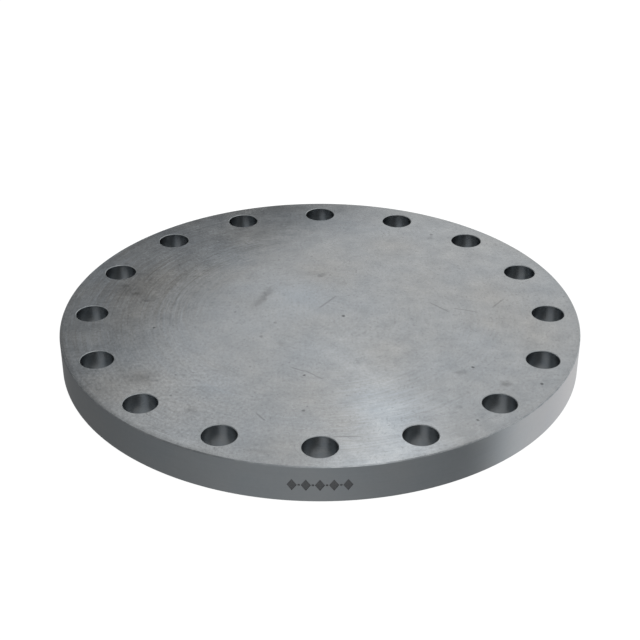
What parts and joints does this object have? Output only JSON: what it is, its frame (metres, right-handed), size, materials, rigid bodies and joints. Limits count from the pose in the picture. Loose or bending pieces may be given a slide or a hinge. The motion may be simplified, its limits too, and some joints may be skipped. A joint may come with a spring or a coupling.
{
  "type": "blind flange",
  "caption": "Flat-faced blind flange: a solid round steel plate with a circle of bolt holes near its rim, which closes the end of a flanged pipe.",
  "frame": {"origin": "centre of the gasket face, on the disc's axis", "axes": "+Z is the disc's axis and points out of the gasket face, towards the flange it bolts to; the steel lies below the origin. A bolt hole lies on +X, and so on each of +X, +Y, -X and -Y."},
  "size_m": [0.485, 0.485, 0.034],
  "materials": {
    "machined_carbon_steel": "bare carbon steel: both faces and the rim lathe-turned, with fine concentric tool marks on the faces, bolt holes drilled, edges broken, light handling scratches and stains, no paint"
  },
  "bodies": {
    "root": {"blind_flange_disc": "machined_carbon_steel"}
  },
  "joints": []
}
